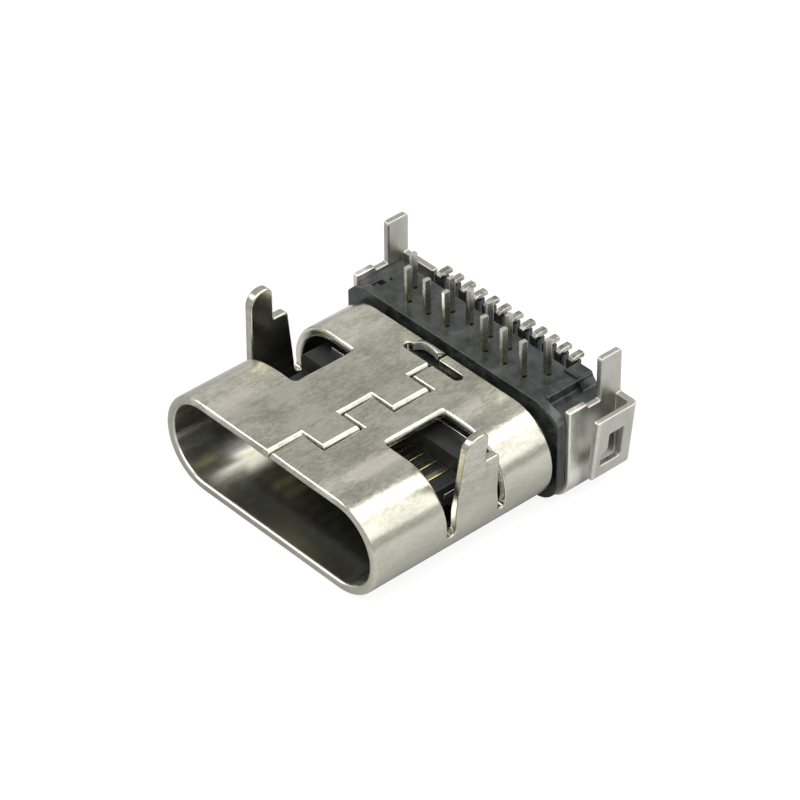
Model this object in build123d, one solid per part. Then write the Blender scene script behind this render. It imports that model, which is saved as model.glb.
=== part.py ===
from build123d import *
import os

# A 24-contact board receptacle with a folded sheet-metal shell, lying on its back.
# X is the width, Y runs from the mouth to the rear, and Z points to the board side.
# The mouth is at Y = 0, the resting face of the shell is at Z = 0. Millimetres.

# Front shell
shell_width = 8.94
shell_height = 3.16
shell_length = 6.64
shell_sheet = 0.30

# Finger seam on the board side of the shell
seam_offset = 0.08
seam_gap = 0.03
finger_reach = 0.86
finger_length = 1.40
finger_starts = (1.25, 3.83)

# Rear slot of the shell and its raised lip
slot_inset = 0.35
slot_width = 0.30
slot_left = 1.10
slot_right = 1.22
lip_rise = 0.29
lip_tip_rise = 0.20

# Side windows and the legs cut from them
window_inner = 1.92
window_start = 2.67
window_length = 2.17
window_corner = 0.10
front_slit = 0.33
rear_slit = 0.26
slit_depth = 0.38
leg_height = 4.66
prong_width = 0.82
leg_taper = 0.21
leg_bend = 0.35
leg_bend_round = 2.40
prong_front_round = 0.46
prong_rear_round = 0.30
shoulder_height = 3.49
shoulder_round = 0.16
notch_round = 0.07
left_leg_lean = -0.03
right_leg_lean = 0.45

# Housing
neck_fit = 0.02
neck_depth = 0.64
shell_gap = 0.21
flange_width = 8.84
flange_length = 0.32
flange_bevel = 0.90
bottom_round = 0.90
platform_height = 3.33
platform_width = 7.30
shoulder_level = 3.05
body_length = 1.78
ledge_left = 3.85
ledge_right = 3.05
ledge_depth = 0.39
ledge_level = 2.86
pad_length = 0.57
pad_top = 3.38
pad_flat = 0.50
pad_slope = 0.29
pocket_inset = 0.17
pocket_width = 0.50
pocket_front = 0.15
pocket_length = 0.48
pocket_level = 2.55
rest_width = 0.30
rest_front = 0.05
rest_reach = 0.28
rest_low = 2.20

# Rear bracket
bracket_sheet = 0.22
bracket_width = 9.10
bracket_edge = 3.27
bracket_bend = 0.24
rear_leg_width = 0.80
rear_leg_height = 4.55
rear_leg_round = 0.12
relief_width = 0.50
relief_depth = 0.13
relief_round = 0.06
tab_reach = 1.28
tab_low = 1.10
wing_gap = 0.27
wing_spread = 0.24
wing_bottom = 0.95
wing_top = 3.10
wing_length = 1.58
wing_window_length = 0.80
wing_window_height = 1.08
wing_window_front = 0.29
wing_window_low = 0.41
wing_window_round = 0.12
wing_window_corner = 0.04
lobe_reach = 0.24
lobe_height = 0.65
lobe_round = 0.20

# Tongue moulding
tongue_width = 6.69
tongue_thickness = 0.70
tongue_start = 1.75
tongue_round = 0.20
base_start = 4.19
base_height = 1.88
base_width = 6.90
base_round = 0.25

# Mid plate
plate_thickness = 0.15
plate_start = 2.25
plate_notch = 0.24
plate_notch_start = 2.95
plate_notch_length = 0.60

# Ground spring plates
spring_sheet = 0.12
spring_width = 5.80
spring_inset = 0.70
finger_pitch = 2.30
spring_finger_width = 1.10
spring_finger_length = 0.60
spring_fit = 0.03

# Contacts
contact_pitch = 0.50
contact_count = 12
contact_width = 0.25
contact_sheet = 0.15
contact_start = 2.05
contact_proud = 0.02
contact_bend = 0.16
foot_width = 0.22
foot_level = 3.38
foot_reach = 0.41
pin_width = 0.22
pin_height = 4.50
pin_point = 0.05
front_row_depth = 0.23
back_row_depth = 0.80
pin_grid = 0.40
jog_length = 0.26

# Sizes that follow
middle = shell_height / 2
half_shell = shell_width / 2
inner_half = half_shell - shell_sheet
flat_half = half_shell - middle
slot_end = shell_length - slot_inset
slot_start = slot_end - slot_width
window_end = window_start + window_length
leg_front = window_start + front_slit
leg_rear = window_end - rear_slit
flange_start = shell_length + shell_gap
flange_half = flange_width / 2
body_start = flange_start + flange_length
body_end = body_start + body_length
bracket_half = bracket_width / 2
body_half = bracket_half - bracket_sheet
bracket_end = body_end + bracket_sheet
rear_leg_front = bracket_end - rear_leg_width
blade_low = middle - tongue_thickness / 2 - contact_proud + contact_sheet / 2
blade_high = middle + tongue_thickness / 2 + contact_proud - contact_sheet / 2
base_top = middle + base_height / 2
base_bottom = middle - base_height / 2
base_end = flange_start - neck_depth
foot_end = body_end + foot_reach
front_row = body_start + front_row_depth
back_row = body_start + back_row_depth

# Pins from the middle outward, as a count of grid steps. Odd counts stand in the back row.
pin_step_counts = (1, 2, 3, 4, 6, 7)


def block(x0, x1, y0, y1, z0, z1):
    """A box between two corners."""
    size = Box(x1 - x0, y1 - y0, z1 - z0, align=(Align.MIN, Align.MIN, Align.MIN))
    return Pos(x0, y0, z0) * size


def along_y(section, y0, y1):
    """Push a section drawn in X and Z from y0 to y1."""
    return extrude(Plane.XZ.offset(-y0) * section, amount=-(y1 - y0))


def along_x(section, x0, x1):
    """Push a section drawn in Y and Z from x0 to x1."""
    return extrude(Plane.YZ.offset(x0) * section, amount=x1 - x0)


def rounded(points, radii):
    """A closed face whose corner n is rounded by radii[n]."""
    face = make_face(Polyline(*points, close=True))
    for point, radius in zip(points, radii):
        if radius > 0:
            corner = face.vertices().sort_by_distance((point[0], point[1], 0))[0]
            face = fillet(corner, radius)
    return face


def stadium(inset):
    """The shell's section, drawn in by inset."""
    outline = SlotOverall(shell_width - 2 * inset, shell_height - 2 * inset)
    return Pos(0, middle) * outline


def strip(points, bend, width, thickness):
    """A flat strip swept along bent points in one Y-Z plane, with its width along X."""
    path = FilletPolyline(*points, radius=bend)
    start = Plane(origin=path @ 0, x_dir=(1, 0, 0), z_dir=path % 0)
    return sweep(start * Rectangle(width, thickness), path=path)


def seam_points():
    """The path of the seam on the flat, from the mouth to the rear slot."""
    points = [(seam_offset, -shell_sheet)]
    for start in finger_starts:
        tip = seam_offset + finger_reach
        points += [(seam_offset, start), (tip, start)]
        points += [(tip, start + finger_length), (seam_offset, start + finger_length)]
    points.append((seam_offset, slot_start + slot_width / 2))
    return points


def front_leg(lean):
    """One stepped leg on the right, up from the shell's widest line and leaning outward."""
    front, rear = leg_front, leg_rear
    prong_rear = front + prong_width
    outline = rounded(
        (
            (front, middle),
            (front, leg_height),
            (prong_rear, leg_height),
            (prong_rear, shoulder_height),
            (rear - leg_taper, shoulder_height),
            (rear, middle),
        ),
        (0, prong_front_round, prong_rear_round, notch_round, shoulder_round, 0),
    )
    bend = middle + leg_bend
    sheet = rounded(
        (
            (inner_half, middle),
            (half_shell, middle),
            (half_shell, bend),
            (half_shell + lean, leg_height),
            (inner_half + lean, leg_height),
            (inner_half, bend),
        ),
        (0, 0, leg_bend_round, 0, 0, leg_bend_round),
    )
    return along_x(outline, 0, shell_width) & along_y(sheet, front, rear)


def front_shell():
    """The tube folded from one sheet, open at both ends."""
    shell = along_y(stadium(0) - stadium(shell_sheet), 0, shell_length)
    reach = shell_width
    for side, lean in ((-1, left_leg_lean), (1, right_leg_lean)):
        corners = (
            (side * window_inner, window_start),
            (side * reach, window_start),
            (side * reach, window_end),
            (side * window_inner, window_end),
        )
        opening = rounded(corners, (window_corner, 0, 0, window_corner / 2))
        shell -= Pos(0, 0, middle) * extrude(opening, amount=shell_height)
        for y0, width in ((window_start, front_slit), (leg_rear, rear_slit)):
            slit = SlotOverall(2 * slit_depth, width, rotation=90)
            tool = along_x(Pos(y0 + width / 2, middle) * slit, 0, reach)
            shell -= tool if side > 0 else mirror(tool, about=Plane.YZ)
        leg = front_leg(lean)
        shell += leg if side > 0 else mirror(leg, about=Plane.YZ)
    slot_length = slot_left + slot_right
    slot = Pos((slot_right - slot_left) / 2, slot_start + slot_width / 2) * SlotOverall(
        slot_length, slot_width
    )
    shell -= Pos(0, 0, middle) * extrude(slot, amount=shell_height)
    points = seam_points()
    half = seam_gap / 2
    for (xa, ya), (xb, yb) in zip(points, points[1:]):
        shell -= block(
            min(xa, xb) - half,
            max(xa, xb) + half,
            min(ya, yb) - half,
            max(ya, yb) + half,
            middle,
            2 * shell_height,
        )
    shell -= block(
        seam_offset - half,
        seam_offset + half,
        slot_start,
        2 * shell_length,
        middle,
        2 * shell_height,
    )
    return raised_lip(shell)


def raised_lip(shell):
    """Press the left half of the strip behind the slot up, arched at its front edge."""
    root = -slot_left + slot_width / 2
    end = seam_offset - seam_gap / 2
    shell -= block(root, end, slot_end, shell_length, middle, 2 * shell_height)
    sections = []
    for y, rise, tip in ((slot_end, lip_rise, lip_tip_rise), (shell_length, 0, 0)):
        edges = []
        for z in (shell_height - shell_sheet, shell_height):
            crown = z + 2 * rise - tip / 2
            edges.append(Bezier((root, z), ((root + end) / 2, crown), (end, z + tip)))
        low, high = edges
        edges += [Line(low @ 0, high @ 0), Line(low @ 1, high @ 1)]
        sections.append(Plane.XZ.offset(-y) * make_face(edges))
    return shell + loft(sections, ruled=True)


def foot_contact(x):
    """A contact from the lower side of the tongue to a foot behind the housing."""
    top = foot_level - contact_sheet / 2
    blade = strip(
        ((x, contact_start, blade_low), (x, body_end, blade_low),
         (x, body_end, top), (x, foot_end, top)),
        contact_bend,
        foot_width,
        contact_sheet,
    )
    widening = block(
        x - contact_width / 2,
        x + contact_width / 2,
        contact_start,
        base_end,
        blade_low - contact_sheet / 2,
        blade_low + contact_sheet / 2,
    )
    return blade + widening


def pin_contact(x, pin_x, row):
    """A contact from the upper side of the tongue to a pin through the board."""
    low = blade_high - contact_sheet / 2
    high = blade_high + contact_sheet / 2
    bend_start = row - contact_bend - jog_length
    pin = strip(
        ((pin_x, bend_start, blade_high), (pin_x, row, blade_high), (pin_x, row, pin_height)),
        contact_bend,
        pin_width,
        contact_sheet,
    )
    pin = chamfer(pin.faces().sort_by(Axis.Z)[-1].edges(), pin_point)
    blade = block(
        x - contact_width / 2, x + contact_width / 2, contact_start, bend_start, low, high
    )
    left = min(x - contact_width / 2, pin_x - pin_width / 2)
    right = max(x + contact_width / 2, pin_x + pin_width / 2)
    jog = block(left, right, bend_start, bend_start + jog_length, low, high)
    return blade + jog + pin


def contact_places():
    """The middles of the twelve contacts in a row, from the left."""
    first = -(contact_count - 1) / 2 * contact_pitch
    return [first + number * contact_pitch for number in range(contact_count)]


def contact_sets():
    """Both rows of contacts, counted from the left."""
    feet, pins = [], []
    for x in contact_places():
        feet.append(foot_contact(x))
        steps = pin_step_counts[int(abs(x) // contact_pitch)]
        pin_x = steps * pin_grid if x > 0 else -steps * pin_grid
        pins.append(pin_contact(x, pin_x, back_row if steps % 2 else front_row))
    return feet, pins


def housing(contacts):
    """The moulded body behind the shell, with the contacts moulded in."""
    neck = along_y(stadium(shell_sheet + neck_fit), base_end, flange_start)
    half, low = flange_half, bottom_round
    platform = platform_width / 2
    flange = rounded(
        (
            (-half, 0),
            (half, 0),
            (half, platform_height - flange_bevel / 2),
            (half - flange_bevel / 4, platform_height - flange_bevel / 4),
            (half - flange_bevel, platform_height),
            (-half + flange_bevel, platform_height),
            (-half + flange_bevel / 4, platform_height - flange_bevel / 4),
            (-half, platform_height - flange_bevel / 2),
        ),
        (low, low, 0, 0, 0, 0, 0, 0),
    )
    inner = low - bracket_sheet
    section = rounded(
        (
            (-body_half, bracket_sheet),
            (body_half, bracket_sheet),
            (body_half, shoulder_level),
            (platform, shoulder_level),
            (platform, platform_height),
            (-platform, platform_height),
            (-platform, shoulder_level),
            (-body_half, shoulder_level),
        ),
        (inner, inner, 0, 0, 0, 0, 0, 0),
    )
    body = along_y(section, body_start, body_end)
    solid = neck + along_y(flange, flange_start, body_start) + body
    ledge_front = body_end - ledge_depth
    solid -= block(
        -ledge_left, ledge_right, ledge_front, body_end, ledge_level, platform_height
    )
    pocket = -platform + pocket_inset
    solid -= block(
        pocket - pocket_width,
        pocket,
        body_start + pocket_front,
        body_start + pocket_front + pocket_length,
        pocket_level,
        platform_height,
    )
    solid += rear_pad()
    for x in contact_places():
        solid += block(
            x - rest_width / 2,
            x + rest_width / 2,
            body_end - rest_front,
            body_end + rest_reach,
            rest_low,
            foot_level - contact_sheet,
        )
    for contact in contacts:
        solid -= contact
    return solid


def rear_pad():
    """The raised pad at the right rear corner, sloping down to the shoulder."""
    section = make_face(
        Polyline(
            (ledge_right, ledge_level),
            (ledge_right, pad_top),
            (ledge_right + pad_flat, pad_top),
            (ledge_right + pad_flat + pad_slope, shoulder_level),
            (ledge_right + pad_flat + pad_slope, ledge_level),
            close=True,
        )
    )
    return along_y(section, body_end - pad_length, body_end)


def tongue(contacts, plate):
    """The tongue and its thicker base, moulded over the contacts and the plate."""
    half = tongue_width / 2
    top, bottom = middle + tongue_thickness / 2, middle - tongue_thickness / 2
    blade = block(-half, half, tongue_start, base_start, bottom, top)
    tips = blade.edges().filter_by(Axis.Z).group_by(Axis.Y)[0]
    blade = fillet(tips, tongue_round)
    base_section = rounded(
        (
            (-base_width / 2, base_bottom),
            (base_width / 2, base_bottom),
            (base_width / 2, base_top),
            (-base_width / 2, base_top),
        ),
        (base_round,) * 4,
    )
    solid = blade + along_y(base_section, base_start, base_end)
    solid -= plate
    for contact in contacts:
        solid -= contact
    return solid


def mid_plate():
    """The steel plate between the two rows, with a latch notch in each side."""
    half = tongue_width / 2
    low, high = middle - plate_thickness / 2, middle + plate_thickness / 2
    plate = block(-half, half, plate_start, base_end, low, high)
    for side in (-1, 1):
        x0, x1 = sorted((side * (half - plate_notch), side * half))
        plate -= block(
            x0, x1, plate_notch_start, plate_notch_start + plate_notch_length, low, high
        )
    return plate


def ground_spring(side):
    """A plate on the tongue base, with fingers that reach up to the shell."""
    seat = base_height / 2
    reach = middle - shell_sheet - spring_fit
    start, end = base_start + spring_inset, base_end
    half = spring_width / 2
    plate = block(-half, half, start, end, seat, seat + spring_sheet)
    for count in (-1, 0, 1):
        x = count * finger_pitch
        tip = start + spring_finger_length
        outline = make_face(
            Polyline(
                (end, seat),
                (end, seat + spring_sheet),
                (tip, reach),
                (start + spring_sheet, seat + spring_sheet),
                (start, seat),
                close=True,
            )
        )
        plate += along_x(outline, x - spring_finger_width / 2, x + spring_finger_width / 2)
    if side < 0:
        plate = mirror(plate, about=Plane.XY)
    return Pos(0, 0, middle) * plate


def rear_bracket():
    """The sheet under and beside the housing, with legs, a turned tab and a wing."""
    wide = bracket_half
    outer = rounded(
        ((-wide, 0), (wide, 0), (wide, bracket_edge), (-wide, bracket_edge)),
        (bottom_round, bottom_round, 0, 0),
    )
    round_in = bottom_round - bracket_sheet
    inner = rounded(
        (
            (-body_half, bracket_sheet),
            (body_half, bracket_sheet),
            (body_half, 2 * bracket_edge),
            (-body_half, 2 * bracket_edge),
        ),
        (round_in, round_in, 0, 0),
    )
    bracket = along_y(outer - inner, body_start, bracket_end)
    relief_front = rear_leg_front - relief_width
    relief = rounded(
        (
            (relief_front, bracket_edge - relief_depth),
            (rear_leg_front, bracket_edge - relief_depth),
            (rear_leg_front, 2 * bracket_edge),
            (relief_front, 2 * bracket_edge),
        ),
        (relief_round, relief_round, 0, 0),
    )
    bracket -= along_x(relief, -wide, wide)
    leg = rounded(
        (
            (rear_leg_front, bracket_edge - relief_depth),
            (rear_leg_front, rear_leg_height),
            (bracket_end, rear_leg_height),
            (bracket_end, bracket_edge - relief_depth),
        ),
        (0, rear_leg_round, rear_leg_round, 0),
    )
    for x in (-wide, body_half):
        bracket += along_x(leg, x, x + bracket_sheet)
    for x, low, high in (
        (-wide, tab_low, bracket_edge),
        (body_half, wing_bottom, wing_top),
    ):
        bracket -= block(
            x, x + bracket_sheet, body_end - bracket_bend, bracket_end, low, high
        )
    return bracket + rear_tab() + wing()


def rear_tab():
    """The left side plate's end, turned in behind the housing."""
    outline = rounded(
        (
            (-bracket_half, body_end - bracket_bend),
            (-bracket_half, bracket_end),
            (-body_half + tab_reach, bracket_end),
            (-body_half + tab_reach, body_end),
            (-body_half, body_end),
            (-body_half, body_end - bracket_bend),
        ),
        (0, bracket_bend, 0, 0, 0, 0),
    )
    return Pos(0, 0, tab_low) * extrude(outline, amount=bracket_edge - tab_low)


def wing():
    """The outer wing, leaning out towards its top, with its stepped window."""
    reach = wing_length
    faces = []
    for z, spread in ((wing_bottom, 0), (wing_top, wing_spread)):
        near, far = body_half, bracket_half + wing_gap + bracket_sheet + spread
        front = bracket_end - reach
        outer_round = bracket_bend
        inner_round = bracket_bend - bracket_sheet / 2
        outline = rounded(
            (
                (near, body_end - bracket_bend),
                (near, bracket_end),
                (far, bracket_end),
                (far, front),
                (far - bracket_sheet, front),
                (far - bracket_sheet, body_end),
                (near + bracket_sheet, body_end),
                (near + bracket_sheet, body_end - bracket_bend),
            ),
            (0, 0, outer_round, 0, 0, inner_round, 0, 0),
        )
        faces.append(Pos(0, 0, z) * outline)
    solid = loft(faces, ruled=True)
    y0 = bracket_end - reach + wing_window_front
    y1 = y0 + wing_window_length
    z0 = wing_bottom + wing_window_low
    z1 = z0 + wing_window_height
    lobe, corner = y0 + lobe_reach, wing_window_corner
    window = rounded(
        (
            (y0, z0),
            (y1, z0),
            (y1, z1),
            (lobe, z1),
            (lobe, z1 - lobe_height),
            (y0, z1 - lobe_height),
        ),
        (corner, wing_window_round, corner, corner, lobe_round, corner),
    )
    return solid - along_x(window, bracket_half + wing_gap / 2, bracket_width)


os.makedirs("parts", exist_ok=True)
feet, pins = contact_sets()
plate = mid_plate()
pieces = {
    "front_shell": front_shell(),
    "rear_bracket": rear_bracket(),
    "housing": housing(feet + pins),
    "tongue": tongue(feet + pins, plate),
    "mid_plate": plate,
    "ground_spring_upper": ground_spring(1),
    "ground_spring_lower": ground_spring(-1),
}
for number, (foot, pin) in enumerate(zip(feet, pins), start=1):
    pieces[f"foot_contact_{number:02d}"] = foot
    pieces[f"pin_contact_{number:02d}"] = pin
for name, piece in pieces.items():
    export_step(piece, f"parts/{name}.step")
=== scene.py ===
import math

import bmesh
import bpy
from mathutils import Matrix, Vector


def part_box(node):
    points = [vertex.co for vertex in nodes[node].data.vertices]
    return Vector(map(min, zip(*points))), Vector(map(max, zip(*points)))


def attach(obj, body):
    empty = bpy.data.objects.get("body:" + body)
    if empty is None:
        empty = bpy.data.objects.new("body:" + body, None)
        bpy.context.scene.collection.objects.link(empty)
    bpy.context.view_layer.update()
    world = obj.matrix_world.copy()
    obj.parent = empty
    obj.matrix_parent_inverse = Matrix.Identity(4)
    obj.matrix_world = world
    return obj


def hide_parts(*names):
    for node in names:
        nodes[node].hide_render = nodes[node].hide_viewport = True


mm = 0.001
touch = 0.01 * mm  # points nearer than this count as the same place

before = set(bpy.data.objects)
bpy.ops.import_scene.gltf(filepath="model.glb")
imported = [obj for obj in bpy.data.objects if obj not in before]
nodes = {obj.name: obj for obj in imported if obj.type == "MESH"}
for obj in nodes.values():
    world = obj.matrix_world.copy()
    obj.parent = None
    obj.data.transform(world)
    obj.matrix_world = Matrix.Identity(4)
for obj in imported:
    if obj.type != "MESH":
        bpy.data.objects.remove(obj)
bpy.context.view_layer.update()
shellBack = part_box("front_shell")[1].y
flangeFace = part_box("housing")[0].y
print("frame loaded,", len(nodes), "nodes")


def newMaterial(name):
    made = bpy.data.materials.new(name)
    made.use_nodes = True
    made.node_tree.nodes.clear()
    return made, made.node_tree


def addNode(tree, kind, **values):
    node = tree.nodes.new(kind)
    for key, value in values.items():
        setattr(node, key, value)
    return node


def objectAxes(tree):
    place = addNode(tree, "ShaderNodeTexCoord")
    split = addNode(tree, "ShaderNodeSeparateXYZ")
    tree.links.new(place.outputs["Object"], split.inputs["Vector"])
    return split.outputs


def patternSpace(tree, perMillimetre):
    # Object coordinates, counted in patterns per millimetre along each axis.
    place = addNode(tree, "ShaderNodeTexCoord")
    mapping = addNode(tree, "ShaderNodeMapping")
    mapping.inputs["Scale"].default_value = [count / mm for count in perMillimetre]
    tree.links.new(place.outputs["Object"], mapping.inputs["Vector"])
    return mapping.outputs["Vector"]


def noise(tree, vector, detail, roughness=0.5, distortion=0.0):
    node = addNode(tree, "ShaderNodeTexNoise")
    node.inputs["Scale"].default_value = 1.0
    node.inputs["Detail"].default_value = detail
    node.inputs["Roughness"].default_value = roughness
    node.inputs["Distortion"].default_value = distortion
    tree.links.new(vector, node.inputs["Vector"])
    return node.outputs["Fac"]


def remap(tree, value, low, high, start, end):
    node = addNode(tree, "ShaderNodeMapRange")
    names = ("From Min", "From Max", "To Min", "To Max")
    for key, number in zip(names, (low, high, start, end)):
        node.inputs[key].default_value = number
    tree.links.new(value, node.inputs["Value"])
    return node.outputs["Result"]


def arithmetic(tree, operation, first, second):
    node = addNode(tree, "ShaderNodeMath", operation=operation)
    for socket, value in zip(node.inputs, (first, second)):
        if isinstance(value, (int, float)):
            socket.default_value = value
        else:
            tree.links.new(value, socket)
    return node.outputs[0]


def blendColours(tree, factor, first, second):
    node = addNode(tree, "ShaderNodeMix", data_type="RGBA")
    colourInputs = [socket for socket in node.inputs if socket.type == "RGBA"]
    for socket, value in zip(colourInputs, (first, second)):
        if isinstance(value, tuple):
            socket.default_value = (*value, 1)
        else:
            tree.links.new(value, socket)
    tree.links.new(factor, node.inputs[0])
    return [socket for socket in node.outputs if socket.type == "RGBA"][0]


def surfaceShader(tree, colour, rough, normal, metal):
    shader = addNode(tree, "ShaderNodeBsdfPrincipled")
    shader.inputs["Metallic"].default_value = metal
    tree.links.new(colour, shader.inputs["Base Color"])
    tree.links.new(rough, shader.inputs["Roughness"])
    tree.links.new(normal, shader.inputs["Normal"])
    output = addNode(tree, "ShaderNodeOutputMaterial")
    tree.links.new(shader.outputs["BSDF"], output.inputs["Surface"])


def relief(tree, height, depth, strength):
    bump = addNode(tree, "ShaderNodeBump")
    bump.inputs["Strength"].default_value = strength
    bump.inputs["Distance"].default_value = depth * mm
    tree.links.new(height, bump.inputs["Height"])
    return bump.outputs["Normal"]


# Tin plated sheet. The mottle is drawn out along the rolling direction, which is Y.
tinPlate = {
    "paleTone": (0.60, 0.59, 0.50),
    "darkTone": (0.355, 0.348, 0.288),
    "warmTone": (0.53, 0.50, 0.44),
    "blotch": (1.3, 0.7, 1.3),  # patterns per millimetre along X, Y and Z
    "streak": (11.0, 4.5, 11.0),
    "grain": (26.0, 9.0, 26.0),
    "roughness": (0.19, 0.24),
    "grainDepth": 0.0010,  # millimetres
    # The mottle keeps this share of its strength below the first height, in millimetres.
    "calmSides": {"low": 2.2, "high": 3.1, "share": 0.35},
    # The flat sheet is crowned a little beside the folds, and the sheen it catches there is
    # painted as two paler bands:
    # places along the axis in millimetres, and how many times as bright the sheet is there.
    "paintedLightAxis": "X",
    "paintedLightBands": (
        (-3.6, 1.0),
        (-3.3, 1.3),
        (-2.3, 1.33),
        (-1.8, 1.0),
        (2.0, 1.0),
        (2.3, 1.38),
        (2.65, 1.38),
        (2.85, 1.0),
    ),
    "paintedLightFrom": 2.95,  # height where the painted bands begin
}
bracketPlate = {
    "paleTone": (0.485, 0.48, 0.435),
    "darkTone": (0.40, 0.395, 0.358),
    "warmTone": (0.465, 0.45, 0.415),
    "blotch": (1.6, 1.6, 0.9),
    "streak": (6.0, 6.0, 2.2),
    "grain": (20.0, 20.0, 9.0),
    "roughness": (0.38, 0.48),
    "grainDepth": 0.0016,
    "calmSides": None,
    # Painted highlight: the sheet is painted brighter along its front edge, and on the
    # shell's lip, which takes this sheet too.
    "paintedLightAxis": "Y",
    "paintedLightBands": ((7.1, 1.75), (7.5, 1.75), (7.75, 1.0), (9.4, 1.0)),
    "paintedLightFrom": -1.0,  # under the floor, so the painted bands reach all the way down
}
# The shell's inside is the same tin painted to its own tones: painted light and shade for the
# inside of the shell. The mid plate and the ground springs take it as their own colour.
shadedInside = {
    "paleTone": (0.76, 0.76, 0.70),
    "darkTone": (0.69, 0.69, 0.64),
    "warmTone": (0.73, 0.715, 0.67),
    "blotch": (2.0, 0.9, 2.0),
    "streak": (7.0, 2.6, 7.0),
    "grain": (20.0, 9.0, 20.0),
    "roughness": (0.21, 0.27),
    "grainDepth": 0.0006,
    "calmSides": None,
    "paintedLightBands": None,
}
# How the noises are mixed on every sheet.
sheetPattern = {
    # Detail, roughness and distortion of each noise.
    "blotchNoise": (3.0, 0.55, 0.6),
    "streakNoise": (3.0, 0.6, 0.8),
    "grainNoise": (2.0, 0.6),
    "middleTone": 0.5,
    "mottle": (0.38, 0.62),  # noise levels that give the dark and the pale tone
    "blotchShare": 0.5,
    "streakShare": 0.5,
    "warm": (0.52, 0.68),
    "warmMost": 0.6,
    "streakRange": (0.3, 0.7),
    "paintedLightFade": 0.15,  # millimetres
    "reliefStrength": 0.5,
}


def calmed(tree, tone, settings):
    # The rolled sides are smoother than the flat top, so the mottle fades there.
    calm = settings["calmSides"]
    middle = sheetPattern["middleTone"]
    height = objectAxes(tree)["Z"]
    part = remap(tree, height, calm["low"] * mm, calm["high"] * mm, calm["share"], 1.0)
    swing = arithmetic(tree, "MULTIPLY", arithmetic(tree, "SUBTRACT", tone, middle), part)
    return arithmetic(tree, "ADD", swing, middle)


def paintLightBands(tree, colour, settings):
    # Painted light: scales the colour by where it lies along one axis.
    tones = settings["paintedLightBands"]
    first, last = tones[0][0], tones[-1][0]
    axes = objectAxes(tree)
    along = remap(tree, axes[settings["paintedLightAxis"]], first * mm, last * mm, 0.0, 1.0)
    ramp = addNode(tree, "ShaderNodeValToRGB")
    tree.links.new(along, ramp.inputs["Fac"])
    stops = ramp.color_ramp.elements
    for position, level in tones[1:-1]:
        stops.new((position - first) / (last - first))
    for stop, (position, level) in zip(stops, tones):
        stop.color = (level - 1, level - 1, level - 1, 1)
    low = settings["paintedLightFrom"]
    gate = remap(tree, axes["Z"], low * mm, (low + sheetPattern["paintedLightFade"]) * mm, 0.0, 1.0)
    extra = arithmetic(tree, "MULTIPLY", ramp.outputs["Color"], gate)
    level = arithmetic(tree, "ADD", extra, 1.0)
    scaled = addNode(tree, "ShaderNodeVectorMath", operation="SCALE")
    tree.links.new(colour, scaled.inputs[0])
    tree.links.new(level, scaled.inputs["Scale"])
    return scaled.outputs["Vector"]


def sheetMaterial(name, settings):
    made, tree = newMaterial(name)
    blotch = noise(tree, patternSpace(tree, settings["blotch"]), *sheetPattern["blotchNoise"])
    streak = noise(tree, patternSpace(tree, settings["streak"]), *sheetPattern["streakNoise"])
    grain = noise(tree, patternSpace(tree, settings["grain"]), *sheetPattern["grainNoise"])
    blotchPart = arithmetic(tree, "MULTIPLY", blotch, sheetPattern["blotchShare"])
    streakPart = arithmetic(tree, "MULTIPLY", streak, sheetPattern["streakShare"])
    mixed = arithmetic(tree, "ADD", blotchPart, streakPart)
    tone = remap(tree, mixed, *sheetPattern["mottle"], 0.0, 1.0)
    if settings["calmSides"]:
        tone = calmed(tree, tone, settings)
    colour = blendColours(tree, tone, settings["darkTone"], settings["paleTone"])
    warmth = remap(tree, blotch, *sheetPattern["warm"], 0.0, sheetPattern["warmMost"])
    colour = blendColours(tree, warmth, colour, settings["warmTone"])
    # Painted light: paler bands where the sheet would catch more light.
    if settings["paintedLightBands"]:
        colour = paintLightBands(tree, colour, settings)
    rough = remap(tree, streak, *sheetPattern["streakRange"], *settings["roughness"])
    height = arithmetic(tree, "ADD", grain, streak)
    normal = relief(tree, height, settings["grainDepth"], sheetPattern["reliefStrength"])
    surfaceShader(tree, colour, rough, normal, 1.0)
    return made


# Black glass-filled moulding, faintly greenish, with a fine moulded grain.
blackMoulding = {
    "colour": (0.009, 0.0115, 0.0105),
    "bloom": (0.046, 0.052, 0.049),
    "cloudPerMm": 1.7,
    "grainPerMm": 24.0,
    "grainDepth": 0.003,  # millimetres
    "roughness": (0.16, 0.30),
}
# The tongue is moulded duller, and its colour is painted darker, a painted shade for the
# inside of the shell.
shadedTongueMoulding = {
    "colour": (0.006, 0.0065, 0.006),
    "bloom": (0.012, 0.0135, 0.0125),
    "cloudPerMm": 2.2,
    "grainPerMm": 28.0,
    "grainDepth": 0.004,
    "roughness": (0.48, 0.60),
}
# How the cloudy bloom is spread on both mouldings.
mouldingPattern = {
    "cloudNoise": (4.0, 0.6, 0.5),
    "grainNoise": (3.0, 0.6),
    "bloomRange": (0.36, 0.68),
    "cloudRange": (0.3, 0.7),
    "reliefStrength": 0.5,
}


def mouldingMaterial(name, settings):
    made, tree = newMaterial(name)
    cloudSpace = patternSpace(tree, (settings["cloudPerMm"],) * 3)
    cloud = noise(tree, cloudSpace, *mouldingPattern["cloudNoise"])
    grainSpace = patternSpace(tree, (settings["grainPerMm"],) * 3)
    grain = noise(tree, grainSpace, *mouldingPattern["grainNoise"])
    tone = remap(tree, cloud, *mouldingPattern["bloomRange"], 0.0, 1.0)
    colour = blendColours(tree, tone, settings["colour"], settings["bloom"])
    rough = remap(tree, cloud, *mouldingPattern["cloudRange"], *settings["roughness"])
    normal = relief(tree, grain, settings["grainDepth"], mouldingPattern["reliefStrength"])
    surfaceShader(tree, colour, rough, normal, 0.0)
    return made
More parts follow.
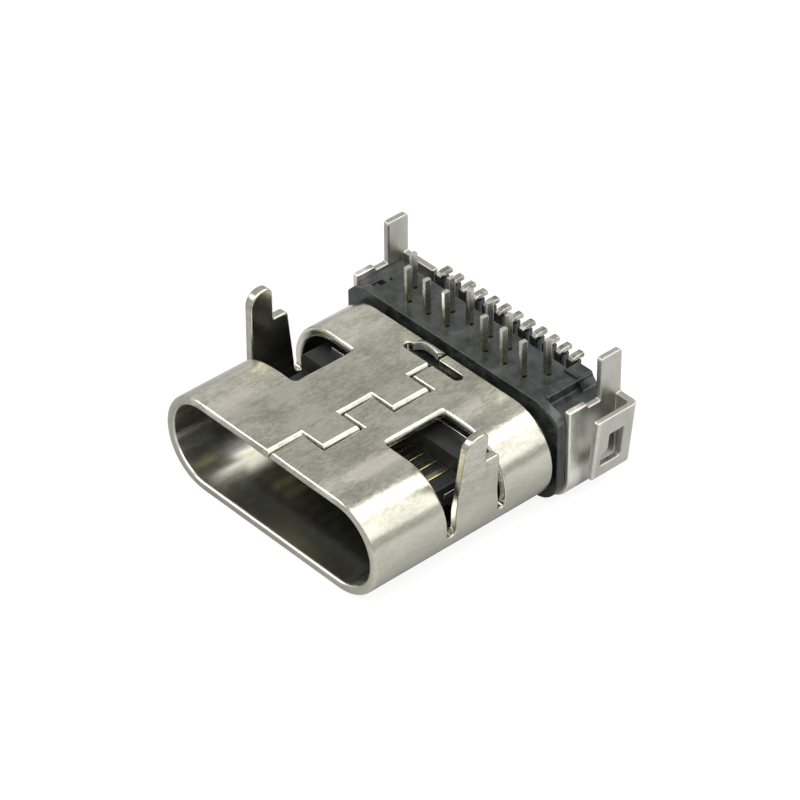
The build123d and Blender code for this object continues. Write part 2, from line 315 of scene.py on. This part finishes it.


# Contacts: gold on the tongue, tin outside, and a little gold again at the pin roots. The
# pins' tin is painted darker, a painted reflection of the dark housing, and paler toward the
# tips, a painted highlight.
contactFinish = {
    "gold": (0.48, 0.425, 0.24),
    "footTin": (0.47, 0.468, 0.42),
    # Painted shade: the pins' tin is darker than the feet's, for the dark housing they
    # mirror.
    "pinShadedTin": (0.30, 0.30, 0.25),
    "stain": (0.19, 0.185, 0.14),
    # Painted highlight toward the pins' upward-facing tips.
    "tip": (0.62, 0.62, 0.58),
    "goldToTin": (6.2, 7.0),  # millimetres from the mouth
    "rootGold": (3.34, 3.42),  # millimetres over the floor
    "rootGoldMost": 0.7,
    "tipHeights": (3.9, 4.5),
    "roughness": (0.22, 0.36),
    "stainPerMm": 5.0,
    "stainNoise": (3.0, 0.6),
    "stainRange": (0.42, 0.66),
    "patchRange": (0.3, 0.7),
    "patchDepth": 0.001,
    "reliefStrength": 0.4,
}


def contactMaterial(name, settings, tin, pinRoots):
    made, tree = newMaterial(name)
    axes = objectAxes(tree)
    change = [distance * mm for distance in settings["goldToTin"]]
    plating = remap(tree, axes["Y"], *change, 0.0, 1.0)
    patchSpace = patternSpace(tree, (settings["stainPerMm"],) * 3)
    patches = noise(tree, patchSpace, *settings["stainNoise"])
    stained = remap(tree, patches, *settings["stainRange"], 0.0, 1.0)
    tinTone = blendColours(tree, stained, tin, settings["stain"])
    colour = blendColours(tree, plating, settings["gold"], tinTone)
    if pinRoots:
        heights = [height * mm for height in settings["rootGold"]]
        rootGold = remap(tree, axes["Z"], *heights, settings["rootGoldMost"], 0.0)
        colour = blendColours(tree, rootGold, colour, settings["gold"])
        # Painted highlight: the pins grow paler toward their tips.
        heights = [height * mm for height in settings["tipHeights"]]
        tipTone = remap(tree, axes["Z"], *heights, 0.0, 1.0)
        colour = blendColours(tree, tipTone, colour, settings["tip"])
    rough = remap(tree, patches, *settings["patchRange"], *settings["roughness"])
    normal = relief(tree, patches, settings["patchDepth"], settings["reliefStrength"])
    surfaceShader(tree, colour, rough, normal, 1.0)
    return made


def freezeModifiers(piece):
    graph = bpy.context.evaluated_depsgraph_get()
    settled = bpy.data.meshes.new_from_object(piece.evaluated_get(graph), depsgraph=graph)
    settled.name = piece.name + "Mesh"
    piece.modifiers.clear()
    piece.data = settled


def placePiece(piece, replaced):
    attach(piece, "root")
    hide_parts(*replaced)


# How far each kind of edge is rounded, in millimetres.
edgeRounds = {
    "widest": 0.17,  # no other may be wider, because each is weighed against it
    "seam": 0.17,
    "seamAcross": 0.10,
    "window": 0.15,
    "end": 0.05,
    "rim": 0.13,
    "mouth": 0.12,
    "slot": 0.05,
    "leg": 0.065,
    "inner": 0.035,
    "bracket": 0.055,
    "housing": 0.04,
    "flangeFront": 0.07,
    "tongue": 0.03,
    "steel": 0.015,
    "segments": 4,
    "sharpAngle": 30.0,  # degrees, edges sharper than this are rounded
    "creaseAngle": 33.0,  # degrees, faces nearer than this are shaded as one
}
# Where the shell's features lie, in millimetres.
shellForm = {
    "flatHalf": 2.89,
    "outerRound": 1.58,
    "innerRound": 1.28,
    "innerSlack": 0.02,
    "slotStart": 5.95,
    "lipLow": 3.19,
    "seamReach": 1.05,
    "windowSide": 1.85,
    "slitTop": 1.9,
    "windowTop": 3.1,
    "ringCuts": (-2.5, -1.2, 1.2, 2.5),
    "cutMerge": 0.002,
    "ringFacing": 0.99,  # how squarely the faces of the ring look along Y
}


def roundDistance(point):
    # How far a point is from the middle line of the shell's section.
    sideways = max(abs(point.x) - shellForm["flatHalf"] * mm, 0.0)
    return math.hypot(sideways, point.z - shellForm["outerRound"] * mm) / mm


def liesAtRadius(points, name):
    away = [abs(roundDistance(point) - shellForm[name]) * mm for point in points]
    return max(away) < touch


def onLip(point):
    beforeFold = abs(point.x) < shellForm["flatHalf"] * mm
    behindSlot = point.y > shellForm["slotStart"] * mm
    return behindSlot and beforeFold and point.z > shellForm["lipLow"] * mm


def shellEdgeRound(edge):
    ends = [vert.co for vert in edge.verts]
    middle = (ends[0] + ends[1]) / 2
    along = middle.y / mm
    if onLip(middle):
        return edgeRounds["slot"]
    nearSeam = abs(middle.x) < shellForm["seamReach"] * mm
    if liesAtRadius(ends, "innerRound"):
        if middle.y < touch:
            return edgeRounds["mouth"]
        besideWindow = along < shellForm["slotStart"] and not nearSeam
        return edgeRounds["leg" if besideWindow else "inner"]
    if liesAtRadius(ends, "outerRound"):
        if middle.y < touch:
            return edgeRounds["rim"]
        if middle.y > shellBack - touch:
            return edgeRounds["end"]
        if along > shellForm["slotStart"]:
            return edgeRounds["slot"]
        if nearSeam:
            across = abs(ends[0].x - ends[1].x) > abs(ends[0].y - ends[1].y)
            return edgeRounds["seamAcross" if across else "seam"]
        # The rounding grows step by step from the slit to the flat top, so no corner jumps.
        rise = shellForm["windowTop"] - shellForm["slitTop"]
        share = min(max((middle.z / mm - shellForm["slitTop"]) / rise, 0.0), 1.0)
        return edgeRounds["leg"] + (edgeRounds["window"] - edgeRounds["leg"]) * share
    if abs(middle.x) < shellForm["windowSide"] * mm and along < shellForm["slotStart"]:
        return 0.0
    return edgeRounds["leg"]


def housingEdgeRound(edge):
    onFront = all(vert.co.y < flangeFace + touch for vert in edge.verts)
    return edgeRounds["flangeFront" if onFront else "housing"]


def steadyRound(name):
    return lambda edge: edgeRounds[name]


# What is merged or left sharp before rounding.
cleaning = {
    "weld": 0.0001,  # millimetres
    "shortest": 0.004,  # millimetres
    "flat": 0.5,  # degrees between faces that become one
    "flatHousing": 4.5,
    "sliver": 0.11,  # millimetres, sharp faces narrower than this are not rounded
}


def cleanForm(nodeName):
    # The solid's loose triangles are joined into whole faces.
    form = bmesh.new()
    form.from_mesh(nodes[nodeName].data)
    bmesh.ops.remove_doubles(form, verts=form.verts, dist=cleaning["weld"] * mm)
    flatness = math.radians(cleaning["flatHousing" if nodeName == "housing" else "flat"])
    bmesh.ops.dissolve_limit(form, angle_limit=flatness, verts=form.verts, edges=form.edges)
    bmesh.ops.dissolve_degenerate(form, dist=cleaning["shortest"] * mm, edges=form.edges)
    return form


def isSharp(edge):
    return edge.calc_face_angle(0.0) > math.radians(edgeRounds["sharpAngle"])


def isSliver(face):
    # A face too narrow to be rounded along both of its sides.
    longest = max((a.co - b.co).length for a in face.verts for b in face.verts)
    allSharp = all(isSharp(edge) for edge in face.edges)
    return allSharp and face.calc_area() < cleaning["sliver"] * mm * longest


def onMouthPlane(face):
    square = abs(face.normal.y) > shellForm["ringFacing"]
    return square and face.calc_center_bounds().y < touch


def splitMouthFace(form):
    # The open ring round the mouth is cut into short faces, which round cleanly.
    for place in shellForm["ringCuts"]:
        ring = [face for face in form.faces if onMouthPlane(face)]
        edges = [edge for face in ring for edge in face.edges]
        verts = [vert for face in ring for vert in face.verts]
        bmesh.ops.bisect_plane(
            form,
            geom=list(dict.fromkeys(ring + edges + verts)),
            dist=shellForm["cutMerge"] * mm,
            plane_co=(place * mm, 0, 0),
            plane_no=(1, 0, 0),
        )


def settleNormals(mesh):
    # A corner's normal is the mean of the faces round it that lean nearly the same way.
    near = math.cos(math.radians(edgeRounds["creaseAngle"]))
    leaning = [face.normal.copy() for face in mesh.polygons]
    around = [[] for vert in mesh.vertices]
    for face in mesh.polygons:
        for number in face.vertices:
            around[number].append(face.index)
    normals = []
    for face in mesh.polygons:
        own = leaning[face.index]
        for number in face.vertices:
            total = Vector((0, 0, 0))
            for other in around[number]:
                if own.dot(leaning[other]) > near:
                    total += leaning[other] * mesh.polygons[other].area
            normals.append(total.normalized() if total.length > 0 else own)
    mesh.normals_split_custom_set(normals)


def softenedCopy(nodeName, materials, edgeRound, surfaceOf=None):
    form = cleanForm(nodeName)
    if nodeName == "front_shell":
        splitMouthFace(form)
    weights = form.edges.layers.float.new("bevel_weight_edge")
    for edge in form.edges:
        edge[weights] = edgeRound(edge) / edgeRounds["widest"] if isSharp(edge) else 0.0
    for face in form.faces:
        if isSliver(face):
            for edge in face.edges:
                edge[weights] = 0.0
    for face in form.faces:
        face.smooth = True
        if surfaceOf:
            face.material_index = surfaceOf(face)
    mesh = bpy.data.meshes.new(nodeName + "Form")
    form.to_mesh(mesh)
    form.free()
    for material in materials:
        mesh.materials.append(material)
    piece = bpy.data.objects.new(nodeName + "_finished", mesh)
    bpy.context.scene.collection.objects.link(piece)
    bevel = piece.modifiers.new("edges", "BEVEL")
    bevel.limit_method = "WEIGHT"
    bevel.width = edgeRounds["widest"] * mm
    bevel.segments = edgeRounds["segments"]
    bevel.use_clamp_overlap = False
    bevel.miter_outer = "MITER_ARC"
    bevel.loop_slide = False
    freezeModifiers(piece)
    settleNormals(piece.data)
    return piece


def shellSurface(face):
    # Which of the shell's materials a face takes: the sheet, its inside, which is painted to
    # its own tones for the light and shade inside the shell, or the sheared lip, which takes
    # the bracket's sheet with its painted highlight.
    middle = face.calc_center_median()
    if onLip(middle):
        return 2
    between = touch < middle.y < shellBack - touch
    within = roundDistance(middle) < shellForm["innerRound"] + shellForm["innerSlack"]
    return 1 if between and within else 0


# Contacts follow the solids' own path, given as one bent run each, in millimetres.
contactRows = {
    "pitch": 0.50,
    "count": 12,
    "start": 2.05,
    "width": 0.22,
    "sheet": 0.15,
    "bend": 0.16,
    "corner": 0.028,
    "lowBlade": 1.285,
    "highBlade": 1.875,
    "footLevel": 3.305,
    "footColumn": 8.95,
    "footEnd": 9.36,
    "pinTop": 4.50,
    "pinPoint": 0.07,
    "tipShare": 0.62,  # width left at the very tip
    "frontRow": 7.40,
    "backRow": 7.97,
    "jog": 0.26,
    "gridStep": 0.40,
    "stepCounts": (1, 2, 3, 4, 6, 7),  # grid steps from the middle to each pin
    "bendSteps": 6,
    "cornerSteps": 2,
}


def contactPlaces():
    rows = contactRows
    first = -(rows["count"] - 1) / 2 * rows["pitch"]
    return [first + number * rows["pitch"] for number in range(rows["count"])]


def footRuns():
    rows = contactRows
    return [
        [
            (x, rows["start"], rows["lowBlade"]),
            (x, rows["footColumn"], rows["lowBlade"]),
            (x, rows["footColumn"], rows["footLevel"]),
            (x, rows["footEnd"], rows["footLevel"]),
        ]
        for x in contactPlaces()
    ]


def pinRuns():
    rows = contactRows
    runs = []
    for x in contactPlaces():
        steps = rows["stepCounts"][int(abs(x) // rows["pitch"])]
        pinX = math.copysign(steps * rows["gridStep"], x)
        row = rows["backRow"] if steps % 2 else rows["frontRow"]
        jogEnd = row - rows["bend"]
        runs.append(
            [
                (x, rows["start"], rows["highBlade"]),
                (x, jogEnd - rows["jog"], rows["highBlade"]),
                (pinX, jogEnd, rows["highBlade"]),
                (pinX, row, rows["highBlade"]),
                (pinX, row, rows["pinTop"] - rows["pinPoint"]),
                (pinX, row, rows["pinTop"]),
            ]
        )
    return runs


def stripTree():
    # Bent runs become rounded rectangular strips.
    tree = bpy.data.node_groups.new("bentStrip", "GeometryNodeTree")
    face = tree.interface
    face.new_socket("Runs", in_out="INPUT", socket_type="NodeSocketGeometry")
    sizes = ("Width", "Sheet", "Bend", "Corner", "Point From", "Point To", "Point Share")
    for name in sizes:
        face.new_socket(name, in_out="INPUT", socket_type="NodeSocketFloat")
    face.new_socket("Plating", in_out="INPUT", socket_type="NodeSocketMaterial")
    face.new_socket("Strips", in_out="OUTPUT", socket_type="NodeSocketGeometry")
    start = addNode(tree, "NodeGroupInput")
    curve = addNode(tree, "GeometryNodeMeshToCurve")
    bent = addNode(tree, "GeometryNodeFilletCurve", mode="POLY")
    bent.inputs["Count"].default_value = contactRows["bendSteps"]
    section = addNode(tree, "GeometryNodeCurvePrimitiveQuadrilateral")
    corners = addNode(tree, "GeometryNodeFilletCurve", mode="POLY")
    corners.inputs["Count"].default_value = contactRows["cornerSteps"]
    place = addNode(tree, "GeometryNodeInputPosition")
    height = addNode(tree, "ShaderNodeSeparateXYZ")
    share = addNode(tree, "ShaderNodeMapRange")
    share.inputs["To Min"].default_value = 1.0
    pointed = addNode(tree, "GeometryNodeSetCurveRadius")
    swept = addNode(tree, "GeometryNodeCurveToMesh")
    swept.inputs["Fill Caps"].default_value = True
    shade = addNode(tree, "GeometryNodeSetShadeSmooth")
    shade.inputs["Shade Smooth"].default_value = False
    real = addNode(tree, "GeometryNodeRealizeInstances")
    plate = addNode(tree, "GeometryNodeSetMaterial")
    end = addNode(tree, "NodeGroupOutput")
    links = (
        (start.outputs["Runs"], curve.inputs["Mesh"]),
        (curve.outputs["Curve"], bent.inputs["Curve"]),
        (start.outputs["Bend"], bent.inputs["Radius"]),
        (start.outputs["Width"], section.inputs["Width"]),
        (start.outputs["Sheet"], section.inputs["Height"]),
        (section.outputs["Curve"], corners.inputs["Curve"]),
        (start.outputs["Corner"], corners.inputs["Radius"]),
        (place.outputs["Position"], height.inputs["Vector"]),
        (height.outputs["Z"], share.inputs["Value"]),
        (start.outputs["Point From"], share.inputs["From Min"]),
        (start.outputs["Point To"], share.inputs["From Max"]),
        (start.outputs["Point Share"], share.inputs["To Max"]),
        (bent.outputs["Curve"], pointed.inputs["Curve"]),
        (share.outputs["Result"], pointed.inputs["Radius"]),
        (pointed.outputs["Curve"], swept.inputs["Curve"]),
        (corners.outputs["Curve"], swept.inputs["Profile Curve"]),
        (swept.outputs["Mesh"], shade.inputs["Geometry"]),
        (shade.outputs["Geometry"], real.inputs["Geometry"]),
        (real.outputs["Geometry"], plate.inputs["Geometry"]),
        (start.outputs["Plating"], plate.inputs["Material"]),
        (plate.outputs["Geometry"], end.inputs["Strips"]),
    )
    for source, target in links:
        tree.links.new(source, target)
    return tree


def contactRow(name, runs, tree, material):
    points, edges = [], []
    for run in runs:
        first = len(points)
        points += [tuple(value * mm for value in point) for point in run]
        edges += [(first + step, first + step + 1) for step in range(len(run) - 1)]
    mesh = bpy.data.meshes.new(name + "Runs")
    mesh.from_pydata(points, edges, [])
    piece = bpy.data.objects.new(name, mesh)
    bpy.context.scene.collection.objects.link(piece)
    strips = piece.modifiers.new("strips", "NODES")
    strips.node_group = tree
    values = {
        "Width": contactRows["width"] * mm,
        "Sheet": contactRows["sheet"] * mm,
        "Bend": contactRows["bend"] * mm,
        "Corner": contactRows["corner"] * mm,
        "Point From": (contactRows["pinTop"] - contactRows["pinPoint"]) * mm,
        "Point To": contactRows["pinTop"] * mm,
        "Point Share": contactRows["tipShare"],
        "Plating": material,
    }
    for socket in tree.interface.items_tree:
        if socket.name in values:
            strips[socket.identifier] = values[socket.name]
    freezeModifiers(piece)
    return piece


# Light and ground. The panels' spans run along X and Y, in millimetres.
studio = {
    "floorHalf": 1.2,  # metres
    "floorGlow": 0.86,
    "floorAlbedo": 0.16,
    "shadeReach": 9.0,  # how far the object darkens the floor that metal mirrors
    "dimFrom": (-6.0, 4.0),  # where that floor fades toward the front
    "frontLevel": 0.55,
    "skyLevel": 0.70,
    "skyColour": (1.0, 0.995, 0.985),
    "panels": {
        "overhead": {"level": 2.7, "x": (0.5, 32.0), "y": (-55.0, 135.0), "height": 60.0},
        "side": {"level": 1.35, "x": (26.5, 130.0), "y": (-55.0, 135.0), "height": 46.0},
        "front": {"level": 4.5, "x": (-75.0, -25.0), "y": (-75.0, -28.0), "height": 52.0},
    },
}


def studioLight(name, panel):
    lamp = bpy.data.lights.new(name + "Panel", "AREA")
    lamp.shape = "RECTANGLE"
    lamp.size = (panel["x"][1] - panel["x"][0]) * mm
    lamp.size_y = (panel["y"][1] - panel["y"][0]) * mm
    lamp.energy = panel["level"] * lamp.size * lamp.size_y * math.pi
    holder = bpy.data.objects.new(name + "Panel", lamp)
    centre = (sum(panel["x"]) / 2, sum(panel["y"]) / 2, panel["height"])
    holder.location = [value * mm for value in centre]
    bpy.context.scene.collection.objects.link(holder)


def buildFloor():
    half = studio["floorHalf"]
    mesh = bpy.data.meshes.new("floorMesh")
    corners = [(-half, -half, 0), (half, -half, 0), (half, half, 0), (-half, half, 0)]
    mesh.from_pydata(corners, [], [(0, 1, 2, 3)])
    floor = bpy.data.objects.new("paleFloor", mesh)
    bpy.context.scene.collection.objects.link(floor)
    made, tree = newMaterial("paleGround")
    matt = addNode(tree, "ShaderNodeBsdfDiffuse")
    matt.inputs["Color"].default_value = (*(studio["floorAlbedo"],) * 3, 1)
    glow = addNode(tree, "ShaderNodeEmission")
    path = addNode(tree, "ShaderNodeLightPath").outputs
    mirrored = arithmetic(tree, "MAXIMUM", path["Is Glossy Ray"], path["Is Transmission Ray"])
    nearby = addNode(tree, "ShaderNodeAmbientOcclusion")
    nearby.inputs["Distance"].default_value = studio["shadeReach"] * mm
    axes = objectAxes(tree)
    along = arithmetic(tree, "ADD", axes["X"], axes["Y"])
    reach = [value * mm for value in studio["dimFrom"]]
    front = remap(tree, along, *reach, studio["frontLevel"], 1.0)
    shade = arithmetic(tree, "MULTIPLY", nearby.outputs["AO"], front)
    inMetal = arithmetic(tree, "MULTIPLY", mirrored, shade)
    seen = arithmetic(tree, "MAXIMUM", path["Is Camera Ray"], inMetal)
    strength = arithmetic(tree, "MULTIPLY", seen, studio["floorGlow"])
    tree.links.new(strength, glow.inputs["Strength"])
    both = addNode(tree, "ShaderNodeAddShader")
    tree.links.new(matt.outputs[0], both.inputs[0])
    tree.links.new(glow.outputs[0], both.inputs[1])
    output = addNode(tree, "ShaderNodeOutputMaterial")
    tree.links.new(both.outputs[0], output.inputs["Surface"])
    mesh.materials.append(made)


def buildStudio():
    world = bpy.data.worlds.new("softTent")
    bpy.context.scene.world = world
    world.use_nodes = True
    sky = world.node_tree.nodes["Background"]
    sky.inputs["Color"].default_value = (*studio["skyColour"], 1)
    sky.inputs["Strength"].default_value = studio["skyLevel"]
    for name, panel in studio["panels"].items():
        studioLight(name, panel)
    buildFloor()


# The camera is fitted to the photograph's edges.
cameraSetup = {
    "azimuth": 48.293,  # degrees
    "elevation": 37.594,
    "roll": -0.43,
    "distance": 116.67,  # millimetres
    "target": (-0.089, 5.0, 2.27),
    "lens": 185.8,  # for a 36 mm sensor
}


def buildCamera():
    turn = math.radians(cameraSetup["azimuth"])
    rise = math.radians(cameraSetup["elevation"])
    roll = math.radians(cameraSetup["roll"])
    level = math.cos(rise)
    back = Vector((math.sin(turn) * level, -math.cos(turn) * level, math.sin(rise)))
    right = (-back).cross(Vector((0, 0, 1))).normalized()
    up = right.cross(-back)
    rolledRight = right * math.cos(roll) + up * math.sin(roll)
    rolledUp = up * math.cos(roll) - right * math.sin(roll)
    data = bpy.data.cameras.new("productCamera")
    data.lens = cameraSetup["lens"]
    data.clip_start = 1 * mm
    camera = bpy.data.objects.new("productCamera", data)
    place = (Vector(cameraSetup["target"]) + back * cameraSetup["distance"]) * mm
    columns = Matrix((rolledRight, rolledUp, back)).transposed()
    camera.matrix_world = Matrix.Translation(place) @ columns.to_4x4()
    bpy.context.scene.collection.objects.link(camera)
    bpy.context.scene.camera = camera


bpy.context.scene.view_settings.view_transform = "Standard"
tin = sheetMaterial("satinTinPlate", tinPlate)
rearTin = sheetMaterial("rearTinPlate", bracketPlate)
innerShadeAndSteelTin = sheetMaterial("shadedTinPlate", shadedInside)
black = mouldingMaterial("blackMoulding", blackMoulding)
shadedTongueBlack = mouldingMaterial("shadedTongueMoulding", shadedTongueMoulding)
footPlating = contactMaterial("footPlating", contactFinish, contactFinish["footTin"], False)
pinPlating = contactMaterial("pinPlating", contactFinish, contactFinish["pinShadedTin"], True)
print("materials made")

shellSheets = (tin, innerShadeAndSteelTin, rearTin)
shell = softenedCopy("front_shell", shellSheets, shellEdgeRound, shellSurface)
placePiece(shell, ["front_shell"])
bracket = softenedCopy("rear_bracket", (rearTin,), steadyRound("bracket"))
placePiece(bracket, ["rear_bracket"])
body = softenedCopy("housing", (black,), housingEdgeRound)
placePiece(body, ["housing"])
tongueForm = softenedCopy("tongue", (shadedTongueBlack,), steadyRound("tongue"))
placePiece(tongueForm, ["tongue"])
for name in ("mid_plate", "ground_spring_upper", "ground_spring_lower"):
    placePiece(softenedCopy(name, (innerShadeAndSteelTin,), steadyRound("steel")), [name])
print("sheet and moulded pieces made")

strip = stripTree()
for rowName, prefix, runs, plating, slotName in (
    ("footRow", "foot_contact", footRuns(), footPlating, "feet"),
    ("pinRow", "pin_contact", pinRuns(), pinPlating, "pins"),
):
    row = contactRow(rowName, runs, strip, plating)
    placePiece(row, sorted(name for name in nodes if name.startswith(prefix)))
print("contacts made")

buildStudio()
buildCamera()
print("studio and camera set")
